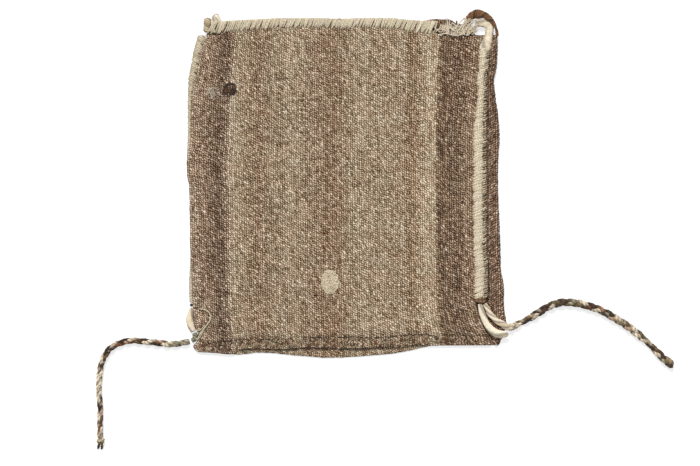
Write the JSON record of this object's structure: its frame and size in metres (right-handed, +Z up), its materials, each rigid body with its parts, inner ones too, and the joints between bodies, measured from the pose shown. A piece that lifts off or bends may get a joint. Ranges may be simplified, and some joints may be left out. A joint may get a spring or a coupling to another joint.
{
  "type": "grain bag",
  "caption": "Flat woven wool grain bag with an open mouth, overcast side seams, small corner loops, darned patches and a braided tie cord at each lower corner.",
  "frame": {"origin": "on the surface that the bag lies on, under the middle of the bag's outline without its tie cords", "axes": "+X across the bag to the right, +Y from the hem up to the open mouth, +Z up out of the front cloth"},
  "size_m": [0.8127, 0.6128, 0.0139],
  "materials": {
    "back_wool": "matte brown wool cloth",
    "front_wool": "matte striped wool cloth",
    "cream_wool": "matte undyed wool yarn",
    "grey_wool": "matte grey-green wool yarn",
    "dark_wool": "matte dark brown wool yarn",
    "brown_wool": "matte rust brown wool yarn",
    "left_braid_wool": "matte braid of cream and brown wool",
    "right_braid_wool": "matte braid of brown and cream wool"
  },
  "bodies": {
    "root": {"back_panel": "back_wool", "front_panel": "front_wool", "mouth_binding": "cream_wool", "left_seam_cord": "cream_wool", "left_seam_knot": "dark_wool", "left_corner_roving": "cream_wool", "left_corner_tie": "grey_wool", "left_braid": "left_braid_wool", "left_braid_knot": "dark_wool", "left_ear_cord": "grey_wool", "left_ear_loop": "cream_wool", "right_seam_cord": "cream_wool", "right_seam_overcast": "grey_wool", "right_seam_wrap": "brown_wool", "right_corner_roving_lower": "cream_wool", "right_corner_roving_upper": "cream_wool", "right_braid": "right_braid_wool", "right_ear_cord": "brown_wool", "right_ear_roving": "cream_wool", "cream_darn": "cream_wool", "dark_darn": "dark_wool", "pale_darn": "grey_wool", "loose_thread": "cream_wool"}
  },
  "joints": []
}
